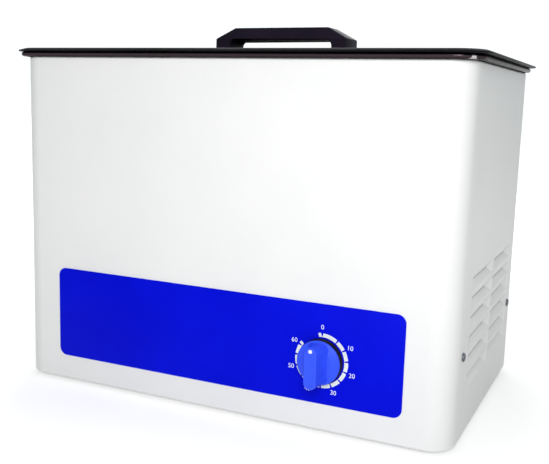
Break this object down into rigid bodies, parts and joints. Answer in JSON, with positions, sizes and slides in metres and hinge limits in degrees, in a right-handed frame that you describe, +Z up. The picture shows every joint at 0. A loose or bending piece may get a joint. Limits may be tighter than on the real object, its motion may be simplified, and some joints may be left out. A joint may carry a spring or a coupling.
{
  "type": "ultrasonic cleaner",
  "caption": "Bench-top ultrasonic cleaner: upright white sheet casing with a hung steel tank, black lift-off lid with bridge handle, blue front overlay with a timer dial and side louvres.",
  "frame": {"origin": "on the bench under the middle of the object's bounding box", "axes": "+X to the right seen from the front, +Y from the front panel to the back, +Z up"},
  "size_m": [0.366, 0.2384, 0.2855],
  "materials": {
    "casing_coat": "near-white powder coat, fine satin orange-peel",
    "zinc_sheet": "zinc-plated sheet, dull",
    "foot_rubber": "matt black rubber",
    "screw_steel": "plated screw steel",
    "tank_steel": "drawn stainless steel, satin inside, polished rim",
    "lid_black": "black moulded plastic, semi-gloss",
    "handle_black": "black moulded plastic, satin",
    "overlay_blue": "royal blue printed polyester, fine texture",
    "knob_blue": "light blue moulded plastic, satin",
    "dot_white": "white paint",
    "timer_zinc": "zinc-plated pressed steel",
    "brass": "turned and pressed brass",
    "black_moulding": "black moulding",
    "horn_aluminium": "turned aluminium",
    "back_mass_steel": "turned steel",
    "ceramic": "fired piezo ceramic, matt",
    "board_green": "glass-epoxy circuit board, green resist",
    "ferrite": "fired ferrite, matt",
    "copper": "enamelled copper wire",
    "capacitor_blue": "dark blue sleeve",
    "fuse_glass": "clear glass tube",
    "lead_grey": "grey insulated lead",
    "gasket_rubber": "black closed-cell rubber"
  },
  "bodies": {
    "housing": {"casing_shell": "casing_coat", "rear_panel": "casing_coat", "base_pan": "zinc_sheet", "foot_1": "foot_rubber", "foot_screw_1": "screw_steel", "side_screw_1": "screw_steel", "foot_2": "foot_rubber", "foot_screw_2": "screw_steel", "side_screw_2": "screw_steel", "foot_3": "foot_rubber", "foot_screw_3": "screw_steel", "side_screw_3": "screw_steel", "foot_4": "foot_rubber", "foot_screw_4": "screw_steel", "side_screw_4": "screw_steel", "rear_screw_1": "screw_steel", "rear_screw_2": "screw_steel", "tank": "tank_steel", "rim_gasket": "gasket_rubber", "control_overlay": "overlay_blue", "timer_case": "timer_zinc", "timer_nut": "brass", "inlet_pin_line": "brass", "inlet_pin_neutral": "brass", "inlet_pin_earth": "brass", "timer_back": "black_moulding", "mains_inlet": "black_moulding", "power_transistor_1": "black_moulding", "power_transistor_2": "black_moulding", "transducer_1_horn": "horn_aluminium", "transducer_1_ceramic_upper": "ceramic", "transducer_1_ceramic_lower": "ceramic", "transducer_1_electrode": "brass", "transducer_1_back_mass": "back_mass_steel", "transducer_1_clamp_bolt": "screw_steel", "lead_transducer_1": "lead_grey", "transducer_2_horn": "horn_aluminium", "transducer_2_ceramic_upper": "ceramic", "transducer_2_ceramic_lower": "ceramic", "transducer_2_electrode": "brass", "transducer_2_back_mass": "back_mass_steel", "transducer_2_clamp_bolt": "screw_steel", "lead_transducer_2": "lead_grey", "generator_board": "board_green", "heat_sink": "horn_aluminium", "transformer_core": "ferrite", "transformer_winding": "copper", "filter_capacitor": "capacitor_blue", "lead_mains": "lead_grey", "lead_board": "lead_grey"},
    "lid": {"lid": "lid_black", "lid_handle": "handle_black", "handle_screw_1": "screw_steel", "handle_screw_2": "screw_steel"},
    "timer_dial": {"timer_knob": "knob_blue", "pointer_dot": "dot_white", "timer_shaft": "screw_steel"},
    "fuse_drawer": {"fuse_drawer": "black_moulding", "fuse": "fuse_glass"}
  },
  "joints": [
    {"name": "lid_lift", "type": "slide", "parent": "housing", "child": "lid", "axis": [0, 0, 1], "range_m": [0, 0.1]},
    {"name": "dial_turn", "type": "hinge", "parent": "housing", "child": "timer_dial", "pos_m": [0.083, -0.09725, 0.0535], "axis": [0, 1, 0], "range_deg": [0, 300]},
    {"name": "fuse_drawer_slide", "type": "slide", "parent": "housing", "child": "fuse_drawer", "axis": [0, 1, 0], "range_m": [0, 0.022]}
  ]
}
